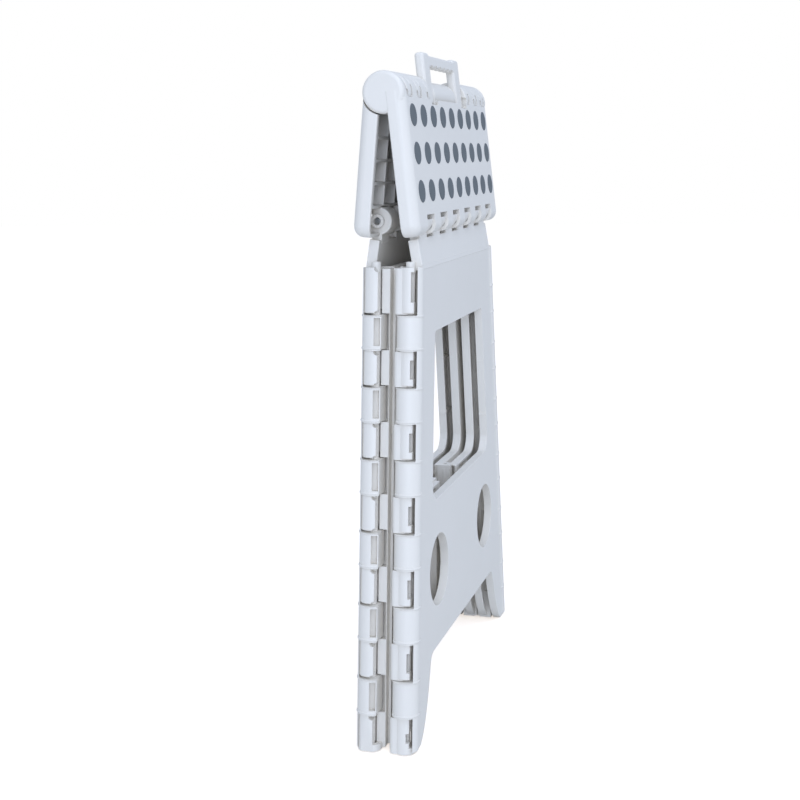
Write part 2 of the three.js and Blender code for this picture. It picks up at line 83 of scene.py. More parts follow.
# Seen from the front of each leg, the left hooks (-1) sit under a lip, and the right ones (1) are rounder.
HOOK_R = {-1: 8.0, 1: 9.2}
HOOK_ROOM = {-1: 8.5, 1: 9.5}
BARREL_FLAT = {-1: -4.7, 1: -6.9}
SADDLE = {-1: -2.6, 1: -9.6}
HOOK_NOTCH_R = 2.8
SPINE_R = 3.6
SPINE_BORE = 4.8
COLUMN_TOP = 356.6
FIRST_CUT = 27.1
SEGMENT = 26.785
SEGMENTS = 13
PLAY = 0.35
END_ROOM = 10.0
LIP_BACK = -20.9
LIP_BAND, LIP_PROUD = 1.7, 0.6

WINDOW_TOP, WINDOW_LOW = 304.0, 173.0
WINDOW_TOP_HALF, WINDOW_LOW_HALF = 79.0, 93.5
WINDOW_CORNER = 14.0
HOLE_X, HOLE_Z, HOLE_R = 78.0, 116.0, 28.0
ARCH_TOP, ARCH_HALF = 57.5, 103.0
FOOT_EDGE = 159.6
PAD_R, PAD_TALL, PAD_SEAT_R = 6.0, 3.2, 6.4

SIDE_FACE, SIDE_BACK = -2.4, -9.8
RIM_FACE = -0.45
SIDE_SKIN = 2.6
SIDE_TOP = 355.5
FOLD_GROUPS = [[80, 98.4, 116.8, 135.2, 153.6, 172], [306, 322.5, 339, 355.5]]
FOLD_R, FOLD_ROOM = 5.8, 8.4

DECK_HALF, DECK_LENGTH = 134.0, 108.0
DECK_FACE, DECK_OPEN = 16.1, 2.1
DECK_SKIN = 3.0
KNUCKLE_R = 16.1
KNUCKLE_CUTS = [57.5, 67.5, 86, 95.5, 111.5, 123, 134]
MIDDLE_R, MIDDLE_HALF = 13.0, 35.5
DOT_PITCH, DOT_R, DOT_PROUD = 28.5, 8.4, 0.4
DOT_ROWS = [18.1, 46.6, 75.1]
TONGUE_PITCH, TONGUE_HALF, TONGUE_R = 38.6, 10.0, 10.6
BOSS_R, BOSS_END = 5.4, 110.0
HANDLE_HALF, HANDLE_LEG, HANDLE_RISE = 56.0, 18.0, 33.5
HANDLE_GRIP, HANDLE_SEAT = 11.5, 8.0
HANDLE_FRONT, HANDLE_REAR = 12.9, 5.3

HINGE_DROP = CENTRE_Z - HINGE_Z
HINGE_S = HINGE_DROP * math.cos(LEAN) - HINGE_Y * math.sin(LEAN)
HINGE_N = -HINGE_Y * math.cos(LEAN) - HINGE_DROP * math.sin(LEAN)


def column_x(z):
    return COLUMN_X - COLUMN_SLOPE * z


def fold_x(z):
    return 27.64 + 0.0595 * (165 - z)


# ---- Modelling helpers ----


def only(piece):
    bpy.ops.object.select_all(action="DESELECT")
    piece.select_set(True)
    bpy.context.view_layer.objects.active = piece
    return piece


def settle(piece):
    """Puts the piece's place, turn and size into its mesh."""
    only(piece)
    bpy.ops.object.transform_apply(location=True, rotation=True, scale=True)
    return piece


def modify(piece, kind, **settings):
    only(piece)
    modifier = piece.modifiers.new(kind.lower(), kind)
    for name, value in settings.items():
        setattr(modifier, name, value)
    bpy.ops.object.modifier_apply(modifier=modifier.name)
    return piece


def soften(piece, width, segments=3, angle=40):
    """Rounds every edge sharper than the angle."""
    return modify(piece, "BEVEL", width=width * MM, segments=segments, limit_method="ANGLE",
                  angle_limit=math.radians(angle), use_clamp_overlap=True)


def block(x, y, z, rounding=0.0, segments=3):
    bpy.ops.object.select_all(action="DESELECT")
    low = [min(pair) * MM for pair in (x, y, z)]
    high = [max(pair) * MM for pair in (x, y, z)]
    bpy.ops.mesh.primitive_cube_add(size=1, location=[(a + b) / 2 for a, b in zip(low, high)])
    piece = bpy.context.object
    piece.scale = [b - a for a, b in zip(low, high)]
    settle(piece)
    return soften(piece, rounding, segments) if rounding else piece


def rod(start, end, radius, rounding=0.0, sides=64):
    bpy.ops.object.select_all(action="DESELECT")
    low, high = Vector(start) * MM, Vector(end) * MM
    turn = (high - low).to_track_quat("Z", "Y").to_euler()
    bpy.ops.mesh.primitive_cylinder_add(
        vertices=sides, radius=radius * MM, depth=(high - low).length,
        location=(low + high) / 2, rotation=turn)
    piece = settle(bpy.context.object)
    return soften(piece, rounding) if rounding else piece


def prism(points, y, rounding=0.0):
    """An outline in X and Z, extruded from one Y to another."""
    bpy.ops.object.select_all(action="DESELECT")
    bpy.ops.mesh.primitive_circle_add(vertices=len(points), radius=MM, fill_type="NGON")
    piece = bpy.context.object
    for vertex, (px, pz) in zip(piece.data.vertices, points):
        vertex.co = Vector((px, min(y), pz)) * MM
    bpy.ops.object.mode_set(mode="EDIT")
    bpy.ops.mesh.select_all(action="SELECT")
    bpy.ops.mesh.extrude_region_move(TRANSFORM_OT_translate={"value": (0, abs(y[1] - y[0]) * MM, 0)})
    bpy.ops.mesh.select_all(action="SELECT")
    bpy.ops.mesh.normals_make_consistent(inside=False)
    bpy.ops.object.mode_set(mode="OBJECT")
    return soften(piece, rounding) if rounding else piece


def arc(x, z, radius, start, end, steps):
    turns = [math.radians(start + (end - start) * i / steps) for i in range(steps + 1)]
    return [(x + radius * math.cos(turn), z + radius * math.sin(turn)) for turn in turns]


def combine(piece, others, operation):
    for other in others:
        modify(piece, "BOOLEAN", operation=operation, solver="MANIFOLD", object=other)
        bpy.data.objects.remove(other)
    return piece


def add(piece, *others):
    return combine(piece, others, "UNION")


def cut(piece, *others):
    return combine(piece, others, "DIFFERENCE")


def round_edges(piece, width, segments, wanted):
    """Rounds the edges for which wanted(middle, direction) is true, in millimetres."""
    only(piece)
    mesh = piece.data
    for part in (*mesh.vertices, *mesh.polygons, *mesh.edges):
        part.select = False
    for edge in mesh.edges:
        a, b = (mesh.vertices[i].co / MM for i in edge.vertices)
        edge.select = wanted((a + b) / 2, (b - a).normalized())
    bpy.context.tool_settings.mesh_select_mode = (False, True, False)
    bpy.ops.object.mode_set(mode="EDIT")
    bpy.ops.mesh.bevel(offset=width * MM, segments=segments, affect="EDGES")
    bpy.ops.object.mode_set(mode="OBJECT")
    return piece


def half_turn(piece):
    """A copy of the piece on the rear half of the stool."""
    only(piece)
    bpy.ops.object.duplicate()
    copy = bpy.context.object
    copy.matrix_world = Matrix.Rotation(math.pi, 4, "Z")
    return settle(copy)


def clean(piece, name):
    """Merges doubles and flat neighbours, and shades the curved faces smooth."""
    only(piece)
    piece.name = name
    piece.data.name = name
    bpy.ops.object.mode_set(mode="EDIT")
    bpy.ops.mesh.select_all(action="SELECT")
    bpy.ops.mesh.remove_doubles(threshold=0.002 * MM)
    bpy.ops.mesh.dissolve_degenerate(threshold=0.002 * MM)
    bpy.ops.mesh.dissolve_limited(angle_limit=math.radians(0.3))
    bpy.ops.object.mode_set(mode="OBJECT")
    bpy.ops.object.shade_smooth_by_angle(angle=math.radians(32))
    modify(piece, "WEIGHTED_NORMAL", keep_sharp=True, weight=100)
    return piece


# ---- Materials ----


def linear(hex_colour):
    values = [int(hex_colour[i:i + 2], 16) / 255 for i in (1, 3, 5)]
    return [v / 12.92 if v <= 0.04045 else ((v + 0.055) / 1.055) ** 2.4 for v in values] + [1.0]


def add_node(tree, kind, links=None, **settings):
    """Adds a node, sets its inputs or properties by name, and links its inputs."""
    node = tree.nodes.new(kind)
    for name, value in settings.items():
        if hasattr(node, name):
            setattr(node, name, value)
        else:
            node.inputs[name.replace("_", " ")].default_value = value
    for name, source in (links or {}).items():
        tree.links.new(source, node.inputs[name])
    return node


def moulded_polypropylene():
    """White polypropylene, injection moulded in a fine spark-eroded tool: a soft satin with a faint grain,
    a slight warmth in its folds where light bounces twice, and flow shading a few centimetres wide."""
    material = bpy.data.materials.new("moulded_white_polypropylene")
    material.use_nodes = True
    tree = material.node_tree
    shader = tree.nodes["Principled BSDF"]
    shader.inputs["IOR"].default_value = 1.49
    shader.inputs["Subsurface Weight"].default_value = 0.0
    place = add_node(tree, "ShaderNodeTexCoord").outputs["Object"]
    flow = add_node(tree, "ShaderNodeTexNoise", {"Vector": place}, Scale=1 / 0.045, Detail=3.0)
    colour = add_node(tree, "ShaderNodeMix", {"Factor": flow.outputs["Fac"]}, data_type="RGBA")
    colour.inputs["A"].default_value = linear("#E6E0D5")
    colour.inputs["B"].default_value = linear("#EAE4DA")
    tree.links.new(colour.outputs["Result"], shader.inputs["Base Color"])
    # The spark grain is 0.15 mm in the tool; it is drawn at 0.7 mm so that it shows.
    grain = add_node(tree, "ShaderNodeTexNoise", {"Vector": place}, Scale=1 / 0.0007, Detail=2.0)
    rough = add_node(tree, "ShaderNodeMapRange", {"Value": grain.outputs["Fac"]})
    rough.inputs["To Min"].default_value = 0.38
    rough.inputs["To Max"].default_value = 0.5
    tree.links.new(rough.outputs["Result"], shader.inputs["Roughness"])
    bump = add_node(tree, "ShaderNodeBump", {"Height": grain.outputs["Fac"]}, Strength=0.12, Distance=0.00004)
    tree.links.new(bump.outputs["Normal"], shader.inputs["Normal"])
    return material


def soft_rubber(name, hex_colour, dark_colour, grain_mm):
    """Matte thermoplastic rubber, moulded against a blasted tool, with a dusty, slightly uneven grey."""
    material = bpy.data.materials.new(name)
    material.use_nodes = True
    tree = material.node_tree
    shader = tree.nodes["Principled BSDF"]
    shader.inputs["IOR"].default_value = 1.5
    shader.inputs["Roughness"].default_value = 0.72
    place = add_node(tree, "ShaderNodeTexCoord").outputs["Object"]
    dust = add_node(tree, "ShaderNodeTexNoise", {"Vector": place}, Scale=1 / 0.006, Detail=4.0)
    colour = add_node(tree, "ShaderNodeMix", {"Factor": dust.outputs["Fac"]}, data_type="RGBA")
    colour.inputs["A"].default_value = linear(dark_colour)
    colour.inputs["B"].default_value = linear(hex_colour)
    tree.links.new(colour.outputs["Result"], shader.inputs["Base Color"])
    grain = add_node(tree, "ShaderNodeTexNoise", {"Vector": place}, Scale=1 / (grain_mm * MM), Detail=2.0)
    bump = add_node(tree, "ShaderNodeBump", {"Height": grain.outputs["Fac"]}, Strength=0.3, Distance=0.0001)
    tree.links.new(bump.outputs["Normal"], shader.inputs["Normal"])
    return material


def drawn_steel_wire():
    """Cold-drawn steel wire: a bright grey with fine lines along it from the drawing die."""
    material = bpy.data.materials.new("drawn_steel_wire")
    material.use_nodes = True
    tree = material.node_tree
    shader = tree.nodes["Principled BSDF"]
    shader.inputs["Metallic"].default_value = 1.0
    shader.inputs["Base Color"].default_value = linear("#B4B7BA")
    place = add_node(tree, "ShaderNodeTexCoord").outputs["Object"]
    lines = add_node(tree, "ShaderNodeTexNoise", {"Vector": place}, Scale=1 / 0.0006, Detail=2.0)
    rough = add_node(tree, "ShaderNodeMapRange", {"Value": lines.outputs["Fac"]})
    rough.inputs["To Min"].default_value = 0.25
    rough.inputs["To Max"].default_value = 0.42
    tree.links.new(rough.outputs["Result"], shader.inputs["Roughness"])
    return material


WHITE = moulded_polypropylene()
DOT_RUBBER = soft_rubber("slate_grey_grip_rubber", "#6A6F70", "#5F6466", 0.5)
FOOT_RUBBER = soft_rubber("charcoal_foot_rubber", "#505256", "#434549", 0.6)
STEEL = drawn_steel_wire()


def place_piece(piece, name, body, node, material):
    clean(piece, name)
    piece.data.materials.clear()
    piece.data.materials.append(material)
    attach(piece, body)
    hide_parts(node)
    return piece


# ---- Shared outlines ----


def window_half(z):
    share = (WINDOW_TOP - z) / (WINDOW_TOP - WINDOW_LOW)
    return WINDOW_TOP_HALF + share * (WINDOW_LOW_HALF - WINDOW_TOP_HALF)


def window_outline(grow):
    half, top = WINDOW_LOW_HALF + grow, WINDOW_TOP_HALF + grow
    low, high, r = WINDOW_LOW - grow, WINDOW_TOP + grow, WINDOW_CORNER
    corner = 3.0
    return [
        *arc(-half + r, low + r, r, 180, 270, 10),
        *arc(half - r, low + r, r, 270, 360, 10),
        *arc(top - corner, high - corner, corner, 0, 90, 4),
        *arc(-top + corner, high - corner, corner, 90, 180, 4),
    ]


def foot_edge(inset):
    """Inner edge of a foot, from the corner of the arch down to the floor."""
    return [
        (ARCH_HALF - 4 + inset, ARCH_TOP + inset), (ARCH_HALF + 1 + inset, ARCH_TOP - 1.2 + inset),
        (ARCH_HALF + 4 + inset, ARCH_TOP - 5 + inset), (112 + inset, 40), (116 + inset, 30.5),
        (120.5 + inset, 21.5), (125.5 + inset, 13.5), (131.5 + inset, 6.5 + inset),
        (139 + inset, LEG_FOOT + inset),
    ]


def leg_outline(inset):
    right = [
        (column_x(SHOULDER) - inset, SHOULDER - inset), (column_x(0) - 2 - inset, LEG_FOOT + inset),
        *reversed(foot_edge(inset)),
    ]
    return right + [(-x, z) for x, z in reversed(right)]


def on_column(side, z, out=0.0, forward=0.0):
    """A point beside the corner hinge axis: out from the middle, and forward out of the face."""
    return (side * (column_x(z) + out), COLUMN_Y - forward, z)


def segment(index):
    low = 0.0 if index == 0 else FIRST_CUT + (index - 1) * SEGMENT
    high = COLUMN_TOP if index == SEGMENTS - 1 else FIRST_CUT + index * SEGMENT
    return low, high


def column_bar(side, z, out, y):
    """A slanted bar along the column between two distances out and two Y values."""
    outs = sorted(side * value for value in out)
    points = [(side * column_x(z[0]) + outs[0], z[0]), (side * column_x(z[0]) + outs[1], z[0]),
              (side * column_x(z[1]) + outs[1], z[1]), (side * column_x(z[1]) + outs[0], z[1])]
    return prism(points, y)


# ---- Leg panel ----


def barrel_pocket(side, z):
    """The moulded pocket in the wall of a barrel on the right column."""
    low, high = z[0] + 2.6, z[1] - 2.6
    piece = block((4.0, 13), (-2.4, 2.4), (0, high - low))
    turn = Matrix.Rotation(math.radians(23), 4, "Z")
    slant = Matrix.Rotation(-math.atan(COLUMN_SLOPE), 4, "Y")
    move = Matrix.Translation(Vector(on_column(side, low)) * MM)
    piece.matrix_world = move @ slant @ turn
    return settle(piece)


def column_parts(side):
    """The leg's barrels and their lips. The rod that the side panel's hooks grip is added in leg()."""
    shaft = rod(on_column(side, LEG_FOOT + 1), on_column(side, COLUMN_TOP), BARREL_R, 0.8)
    for index in range(SEGMENTS):
        low, high = segment(index)
        if index % 2 == 0:
            below = END_ROOM if index == 0 else 0
            above = END_ROOM if index == SEGMENTS - 1 else 0
            room = (low - PLAY - below, high + PLAY + above)
            cut(shaft, rod(on_column(side, room[0]), on_column(side, room[1]), HOOK_ROOM[side]),
                column_bar(side, room, (-1, 14), (LIP_BACK, 2)),
                column_bar(side, room, (-14, 0), (LEG_BACK, 2)))
            continue
        for start in (low + PLAY, high - PLAY - LIP_BAND):
            ends = (on_column(side, start), on_column(side, start + LIP_BAND))
            add(shaft, rod(*ends, BARREL_R + LIP_PROUD, 0.5))
        if side > 0:
            cut(shaft, barrel_pocket(side, (low + PLAY, high - PLAY)))
    return cut(shaft, column_bar(side, (-5, 370), (-14, 14), (BARREL_FLAT[side], 4)))


def hook_rooms(side):
    rooms = []
    for index in range(0, SEGMENTS, 2):
        low, high = segment(index)
        z = (low - PLAY - (10 if index == 0 else 0), high + PLAY + (3 if index == SEGMENTS - 1 else 0))
        rooms.append(rod(on_column(side, z[0]), on_column(side, z[1]), HOOK_ROOM[side]))
        rooms.append(column_bar(side, z, (-HOOK_ROOM[side], 14), (-16, 2)))
    return rooms


def leg_ribs():
    y = (LEG_FACE + 1.5, LEG_BACK - 0.2)
    ribs = [block((-116, 116), y, (z, z + RIB)) for z in (341, 322)]
    ribs.append(block((-128, 128), y, (157, 157 + RIB)))
    uprights = [(x, (WINDOW_TOP + 1, SHOULDER - 1)) for x in (-90, -45, 0, 45, 90)]
    uprights += [(x, (ARCH_TOP + 1, WINDOW_LOW - 1)) for x in (-30, 0, 30)]
    ribs += [block((x - RIB / 2, x + RIB / 2), y, z) for x, z in uprights]
    for side in (-1, 1):
        for z in (90, 205, 255):
            edge = window_half(z) if z > WINDOW_LOW else 105
            ribs.append(block((side * edge, side * (column_x(z) - 10)), y, (z, z + RIB)))
    return ribs


def round_hole(side, radius, y, rounding=0.0):
    x = side * HOLE_X
    return rod((x, y[0], HOLE_Z), (x, y[1], HOLE_Z), radius, rounding, 96)


def leg():
    plate = prism(leg_outline(0), (LEG_FACE, LEG_BACK))
    cut(plate, prism(window_outline(0), (-40, 0)),
        *[round_hole(side, HOLE_R, (-40, 0)) for side in (-1, 1)])
    soften(plate, 1.0, 3)
    hollow = prism(leg_outline(RIB), (LEG_FACE + LEG_SKIN, 0))
    cut(hollow, prism(window_outline(RIB), (-40, 1)),
        *[round_hole(side, HOLE_R + RIB, (-40, 1)) for side in (-1, 1)],
        *[column_bar(side, (-20, 400), (-13, 30), (-40, 5)) for side in (-1, 1)])
    cut(plate, hollow)
    add(plate, *leg_ribs())
    cut(plate, *[room for side in (-1, 1) for room in hook_rooms(side)])
    for side in (-1, 1):
        add(plate, column_parts(side))
        add(plate, rod(on_column(side, 4), on_column(side, COLUMN_TOP + 4), SPINE_R, 0.5, 32))
    neck = block((-NECK, NECK), (0, NECK_THICK), (-4, LEG_TOP - SHOULDER), 0.8)
    root = Matrix.Translation((0, (LEG_FACE + 0.2) * MM, SHOULDER * MM))
    neck.matrix_world = root @ Matrix.Rotation(-NECK_LEAN, 4, "X")
    add(plate, settle(neck))
    for i in range(6):
        x = (i - 2.5) * TONGUE_PITCH
        span = (x - TONGUE_HALF, x + TONGUE_HALF)
        tongue = rod((span[0], HINGE_Y, HINGE_Z), (span[1], HINGE_Y, HINGE_Z), TONGUE_R, 1.2)
        add(tongue, block(span, (-19, -11), (LEG_TOP - 4, HINGE_Z), 0.6))
        cut(tongue, block((-200, 200), (HINGE_Y - 12, HINGE_Y - 4), (HINGE_Z + 0.6, HINGE_Z + 12)))
        add(plate, tongue)
    return cut(plate, rod((-NECK, HINGE_Y, HINGE_Z), (NECK, HINGE_Y, HINGE_Z), 2.9, 0, 32))


# ---- Side panels ----


def side_outline(side, inset):
    half, r = WINDOW_LOW_HALF, WINDOW_CORNER
    points = [
        (column_x(SIDE_TOP) - inset, SIDE_TOP - inset), (fold_x(SIDE_TOP) + inset, SIDE_TOP - inset),
        (fold_x(WINDOW_TOP) + inset, WINDOW_TOP + inset), (WINDOW_TOP_HALF + inset, WINDOW_TOP + inset),
        *arc(half - r, WINDOW_LOW + r, r + inset, 0, -90, 10),
        (fold_x(WINDOW_LOW) + inset, WINDOW_LOW - inset), (fold_x(ARCH_TOP) + inset, ARCH_TOP + inset),
        *foot_edge(inset), (column_x(0) - 2 - inset, LEG_FOOT + inset),
    ]
    return [(side * x, z) for x, z in points]


def on_fold(side, z):
    return (side * fold_x(z), 0, z)


def fold_spans(even):
    spans = []
    for cuts in FOLD_GROUPS:
        spans += [(cuts[i], cuts[i + 1]) for i in range(len(cuts) - 1) if (i % 2 == 0) == even]
    return spans


def fold_bar(side, z, half):
    points = [(side * fold_x(z[0]) - half, z[0]), (side * fold_x(z[0]) + half, z[0]),
              (side * fold_x(z[1]) + half, z[1]), (side * fold_x(z[1]) - half, z[1])]
    return prism(points, (-half, half))


def hook(side, index):
    """One snap hook: a C-shaped barrel with a saddle towards its panel. The left ones have a notched edge."""
    low, high = segment(index)
    low, high = low + PLAY, high - PLAY
    tab_low, tab_high = low + 6.0, high - 6.0
    if index == 0:
        tab_low, tab_high = 9.5, 16.5
    if index == SEGMENTS - 1:
        tab_low, tab_high = low + 9.0, high - 2.6
    piece = rod(on_column(side, low), on_column(side, high), HOOK_R[side], 1.0)
    saddle = column_bar(side, (low, high), (-15, 6.6), (SIDE_BACK - 3.4, SADDLE[side]))
    arm = column_bar(side, (low, high), (-15, -9), (SIDE_BACK - 3.4, SIDE_FACE - 0.2))
    round_edges(saddle, 3.6, 5, lambda at, along: abs(along.z) > 0.9 and at.y > -7
                and abs(at.x) > column_x(at.z) + 5)
    round_edges(saddle, 3.3, 2, lambda at, along: abs(along.z) < 0.5 and at.y > -7 and abs(along.y) < 0.5)
    cut(piece, column_bar(side, (low - 5, high + 5), (-16, 16), (SADDLE[side], 5)))
    add(piece, saddle)
    if side > 0:
        ends = [((90, SADDLE[side], z), (170, SADDLE[side], z)) for z in (low, high)]
        cut(piece, *[rod(start, end, HOOK_NOTCH_R, 0, 32) for start, end in ends])
    add(piece, arm)
    cut(piece, rod(on_column(side, low - 20), on_column(side, high + 20), SPINE_BORE, 0, 32),
        column_bar(side, (low - 5, high + 5), (-16, 0), (-40, COLUMN_Y)))
    if side < 0:
        cut(piece, column_bar(side, (low - 5, high + 5), (-16, 16), (-40, -18.1)),
            column_bar(side, (tab_low, tab_high), (0, 16), (-40, -15.9)))
    if index == 0:
        add(piece, rod(on_column(side, 0), on_column(side, 5), HOOK_R[side] - 0.2, 0.3))
        cut(piece, block((-200, 200), (-40, 40), (-20, LEG_FOOT)),
            block((side * FOOT_EDGE, side * 200), (-40, 40), (-9, 40)))
    return piece


def side_panel(side, even):
    panel = prism(side_outline(side, 0), (SIDE_BACK, SIDE_FACE), 0.7)
    hollow = prism(side_outline(side, RIB), (SIDE_BACK - 1, SIDE_FACE - SIDE_SKIN))
    cut(hollow, column_bar(side, (-20, 400), (-13, 30), (-40, 5)), fold_bar(side, (40, 370), FOLD_ROOM + RIB))
    cut(panel, hollow)
    add(panel, column_bar(side, (LEG_FOOT + 0.2, SIDE_TOP - 0.2), (-14, -9), (-8, RIM_FACE)))
    y = (SIDE_BACK + 0.2, SIDE_FACE - 1)
    for z in (336, 157):
        add(panel, block((side * (fold_x(z) + 4), side * (column_x(z) - 6)), y, (z, z + RIB)))
    for z in ((ARCH_TOP + 1, WINDOW_LOW - 1), (WINDOW_TOP + 1, SIDE_TOP - 1)):
        add(panel, block((side * 64, side * (64 + RIB)), y, z))
    for index in range(1, SEGMENTS, 2):
        low, high = segment(index)
        room = column_bar(side, (low - PLAY, high + PLAY), (-10.9, 14), (-40, -6))
        round_edges(room, 3.0, 1, lambda at, along: abs(along.z) < 0.5 and abs(along.y) > 0.9
                    and abs(at.x) < column_x(at.z))
        cut(panel, room, rod(on_column(side, low - PLAY), on_column(side, high + PLAY), BARREL_R + 0.7))
    for low, high in fold_spans(not even):
        cut(panel, fold_bar(side, (low - 0.8, high + 0.8), FOLD_ROOM))
    for index in range(0, SEGMENTS, 2):
        add(panel, hook(side, index))
    if even:
        low, high = FOLD_GROUPS[0][-2:]
        add(panel, fold_bar(side, (low + 0.4, high + 2), 5.6))
    for low, high in fold_spans(even):
        add(panel, rod(on_fold(side, low + 0.4), on_fold(side, high - 0.4), FOLD_R, 0.6, 48))
    cut(panel, rod(on_column(side, -20), on_column(side, COLUMN_TOP + 20), SPINE_BORE, 0, 32))
    bore = 1.95 if even else 4.15
    for cuts in FOLD_GROUPS:
        cut(panel, rod(on_fold(side, cuts[0] - 10), on_fold(side, cuts[-1] + 10), bore, 0, 32))
    foot = side * column_x(0)
    return cut(panel, rod((foot, COLUMN_Y, -5), (foot, COLUMN_Y, PAD_TALL + 0.3), PAD_SEAT_R, 0, 48))


# ---- Top halves, modelled hanging from the centre hinge and then leant out ----


def deck_block(x, s, n, rounding=0.0, segments=3):
    """A box across X, down the deck by s and out of its face by n."""
    return block(x, [-value for value in n], [-value for value in s], rounding, segments)


def deck_rod(x, s, n, radius, rounding=0.0, sides=64):
    return rod((x[0], -n, -s), (x[1], -n, -s), radius, rounding, sides)


def lean(piece):
    piece.matrix_world = Matrix.Translation((0, 0, CENTRE_Z * MM)) @ Matrix.Rotation(-LEAN, 4, "X")
    return settle(piece)


def knuckle_spans(odd):
    spans = []
    for i in range(len(KNUCKLE_CUTS) - 1):
        if (i % 2 == 1) == odd:
            spans += [(KNUCKLE_CUTS[i], KNUCKLE_CUTS[i + 1]), (-KNUCKLE_CUTS[i + 1], -KNUCKLE_CUTS[i])]
    return spans


def deck_shell():
    shell = deck_block((-DECK_HALF, DECK_HALF), (0, DECK_LENGTH), (DECK_OPEN, DECK_FACE))
    low, side = -DECK_LENGTH + 0.01, DECK_HALF - 0.01
    round_edges(shell, 9.0, 8, lambda at, along: abs(along.y) > 0.9 and at.z < low)
    round_edges(shell, 7.6, 8, lambda at, along: at.y < -DECK_FACE + 0.01 and at.z < -0.01)
    round_edges(shell, 1.2, 3, lambda at, along: at.y > -DECK_OPEN - 0.01 and at.z < -0.01
                and abs(along.y) < 0.1)
    return shell


def deck_ribs():
    n = (DECK_OPEN + 0.6, DECK_FACE - 1)
    ribs = [deck_block((-132, 132), (s, s + RIB), n) for s in (32.3, 49.5, 66.5, 84.0)]
    for x in (-128, -100, -72, -43, -14, 14, 43, 72, 100, 128):
        ribs.append(deck_block((x - RIB / 2, x + RIB / 2), (12, 86), n))
    return ribs


def boss_spans():
    edge = TONGUE_HALF + 1
    ends = BOSS_END
    middles = [((i - 2.5) * TONGUE_PITCH + edge, (i - 1.5) * TONGUE_PITCH - edge) for i in range(5)]
    return [(-ends, -2.5 * TONGUE_PITCH - edge), *middles, (2.5 * TONGUE_PITCH + edge, ends)]


def dot_places(front):
    places = [(column * DOT_PITCH, s) for s in DOT_ROWS for column in range(-4, 5)]
    return [(x, s) for x, s in places if front or s > HANDLE_RISE or abs(x) > 2.5 * DOT_PITCH]


def middle_ledge():
    ledge = deck_block((-MIDDLE_HALF, MIDDLE_HALF), (9, 22), (9.5, DECK_FACE))
    return round_edges(ledge, 3.0, 4, lambda at, along: at.z > -9.01 and at.y < -DECK_FACE + 0.01)


def knuckle_slots(front):
    """Shallow upright slots across the joints of the knuckles, on the front of the closed stool."""
    n, s = ((9.5, 20), -0.4) if front else ((-20, -9.5), 0.4)
    places = [sign * x for x in KNUCKLE_CUTS[:-1] for sign in (-1, 1)]
    return [deck_block((x - 2.3, x + 2.3), (s - 4.5, s + 4.5), n, 2.0, 4) for x in places]


def deck_half(front):
    shell = deck_shell()
    inside = (3 - DECK_HALF, DECK_HALF - 3)
    hollow = deck_block(inside, (3, DECK_LENGTH - 3), (-20, DECK_FACE - DECK_SKIN), 4.0)
    cut(hollow, *deck_ribs())
    cut(shell, hollow)
    cut(shell, *[deck_rod((a - PLAY, b + PLAY), 0, 0, KNUCKLE_R + 0.7) for a, b in knuckle_spans(not front)],
        deck_rod((-KNUCKLE_CUTS[0], KNUCKLE_CUTS[0]), 0, 0, KNUCKLE_R + 0.7))
    for a, b in knuckle_spans(front):
        end = 3.2 if abs(abs(a) - DECK_HALF) < 1 or abs(abs(b) - DECK_HALF) < 1 else 0.9
        knuckle = deck_rod((a + PLAY, b - PLAY), 0, 0, KNUCKLE_R, end, 96)
        add(shell, knuckle)
        cut(shell, deck_block((a + 2.5, b - 2.5), (6, 19), (-11, 11)))
    for span in boss_spans():
        add(shell, deck_rod(span, HINGE_S, HINGE_N, BOSS_R, 0.5),
            deck_block(span, (HINGE_S - 3, HINGE_S + 3), (HINGE_N, DECK_FACE - 1)))
    if front:
        add(shell, deck_rod((-MIDDLE_HALF, MIDDLE_HALF), 0, 0, MIDDLE_R, 4.0, 96),
            deck_block((-MIDDLE_HALF, MIDDLE_HALF), (4, 20), (9.5, 12.8), 1.0),
            middle_ledge())
        cut(shell, deck_block((-33, 33), (6, 22), (-20, 9.5)))
        leg_in = HANDLE_HALF - HANDLE_LEG - 0.6
        for side in (-1, 1):
            across = (side * leg_in, side * (HANDLE_HALF + 0.6))
            cut(shell, deck_block(across, (-20, HANDLE_SEAT + 0.6), (-20, 22)))
    else:
        half = HANDLE_HALF + 0.6
        cut(shell, deck_block((-half, half), (-20, HANDLE_RISE + 2), (-20, 22)))
    for i in range(6):
        x = (i - 2.5) * TONGUE_PITCH
        span = (x - TONGUE_HALF - 0.6, x + TONGUE_HALF + 0.6)
        cut(shell, deck_block(span, (HINGE_S - 3.4, DECK_LENGTH + 5), (HINGE_N, 22)),
            deck_block(span, (HINGE_S - 11, DECK_LENGTH + 5), (-20, DECK_FACE - DECK_SKIN - 1)),
            deck_rod(span, HINGE_S, HINGE_N, TONGUE_R + 0.8))
    cut(shell, deck_rod((-131, 131), 0, 0, 3.1, 0, 32), deck_rod((-128, 128), HINGE_S, HINGE_N, 2.9, 0, 32),
        *knuckle_slots(front))
    for x, s in dot_places(front):
        cut(shell, rod((x, -11, -s), (x, -22, -s), DOT_R + 0.12, 0, 48))
    return lean(shell)


